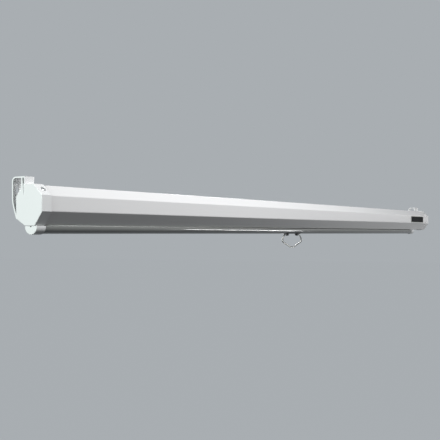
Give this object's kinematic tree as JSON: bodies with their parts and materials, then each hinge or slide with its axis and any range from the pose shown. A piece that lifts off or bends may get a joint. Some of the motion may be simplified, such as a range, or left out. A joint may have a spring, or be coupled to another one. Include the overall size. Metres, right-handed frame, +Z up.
{
  "type": "pull down projector screen",
  "caption": "Wall-hung spring roller projector screen in a white faceted steel case, wound up, with a half-round weight bar and a wire pull handle.",
  "frame": {"origin": "on the wall plane, midway between the two end brackets' keyholes and at the height where the wall screws seat in them", "axes": "+X along the case towards the end with the badge and the self-locking head, +Y out of the back of the wall plates into the wall, +Z up; the room is on the -Y side"},
  "size_m": [2.235, 0.0744, 0.1453],
  "materials": {
    "white_enamel": "satin white stoved enamel on folded steel",
    "white_plastic": "fine satin, moulded",
    "white_aluminium": "white powder coat on an extrusion",
    "zinc_steel": "zinc plated",
    "spring_steel": "oiled spring steel",
    "wire": "polished plated wire",
    "black_plastic": "fine satin, moulded",
    "grey_plastic": "moulded",
    "badge_pale": "semi-gloss, moulded",
    "badge_black": "gloss, bare",
    "bronze": "sintered, oiled",
    "cloth": "matt white coated cloth with a black back and borders"
  },
  "bodies": {
    "case": {"case_shell": "white_enamel", "end_cap_left": "white_plastic", "end_cap_right": "white_plastic", "cap_screw_left_front": "zinc_steel", "cap_screw_left_rear": "zinc_steel", "cap_screw_right_front": "zinc_steel", "cap_screw_right_rear": "zinc_steel", "badge_frame": "badge_pale", "badge_panel": "badge_black", "idle_bush": "bronze", "spindle": "zinc_steel", "ratchet_wheel": "spring_steel", "torsion_spring": "spring_steel", "spring_anchor": "grey_plastic", "spindle_clip": "spring_steel", "screen_lead": "cloth"},
    "roller": {"roller_tube": "zinc_steel", "idle_plug": "grey_plastic", "gudgeon_pin": "zinc_steel", "roller_head": "grey_plastic", "head_bush": "bronze", "head_cover": "zinc_steel", "pawl_pin_a": "zinc_steel", "pawl_pin_b": "zinc_steel", "screen_roll": "cloth"},
    "pawl_a": {"pawl_a": "spring_steel"},
    "pawl_b": {"pawl_b": "spring_steel"},
    "bar": {"weight_bar": "white_aluminium", "bar_cap_left": "white_plastic", "bar_cap_right": "white_plastic", "hem_rod": "grey_plastic", "screen_drop": "cloth", "handle_clip": "black_plastic", "clip_screw_left": "zinc_steel", "clip_screw_right": "zinc_steel"},
    "handle": {"pull_handle": "wire"}
  },
  "joints": [
    {"name": "bar_drop", "type": "slide", "parent": "case", "child": "bar", "axis": [0, 0, -1], "range_m": [0, 1.201], "stiffness_N_per_m": 17, "springref_m": -1.3, "deforming": ["screen_drop"]},
    {"name": "roller_spin", "type": "hinge", "parent": "case", "child": "roller", "pos_m": [0, -0.0447, -0.0322], "axis": [-1, 0, 0], "range_deg": [0, 3600]},
    {"name": "pawl_a_swing", "type": "hinge", "parent": "roller", "child": "pawl_a", "pos_m": [1.096, -0.0447, -0.021], "axis": [1, 0, 0], "range_deg": [0, 13]},
    {"name": "pawl_b_swing", "type": "hinge", "parent": "roller", "child": "pawl_b", "pos_m": [1.096, -0.0447, -0.0434], "axis": [1, 0, 0], "range_deg": [0, 13]},
    {"name": "handle_swing", "type": "hinge", "parent": "bar", "child": "handle", "pos_m": [-0.0545, -0.0439, -0.0889], "axis": [1, 0, 0], "range_deg": [-75, 75]}
  ],
  "couplings": [
    {"joint": "roller_spin", "follows": "bar_drop", "rad_per_m": 52.316}
  ]
}
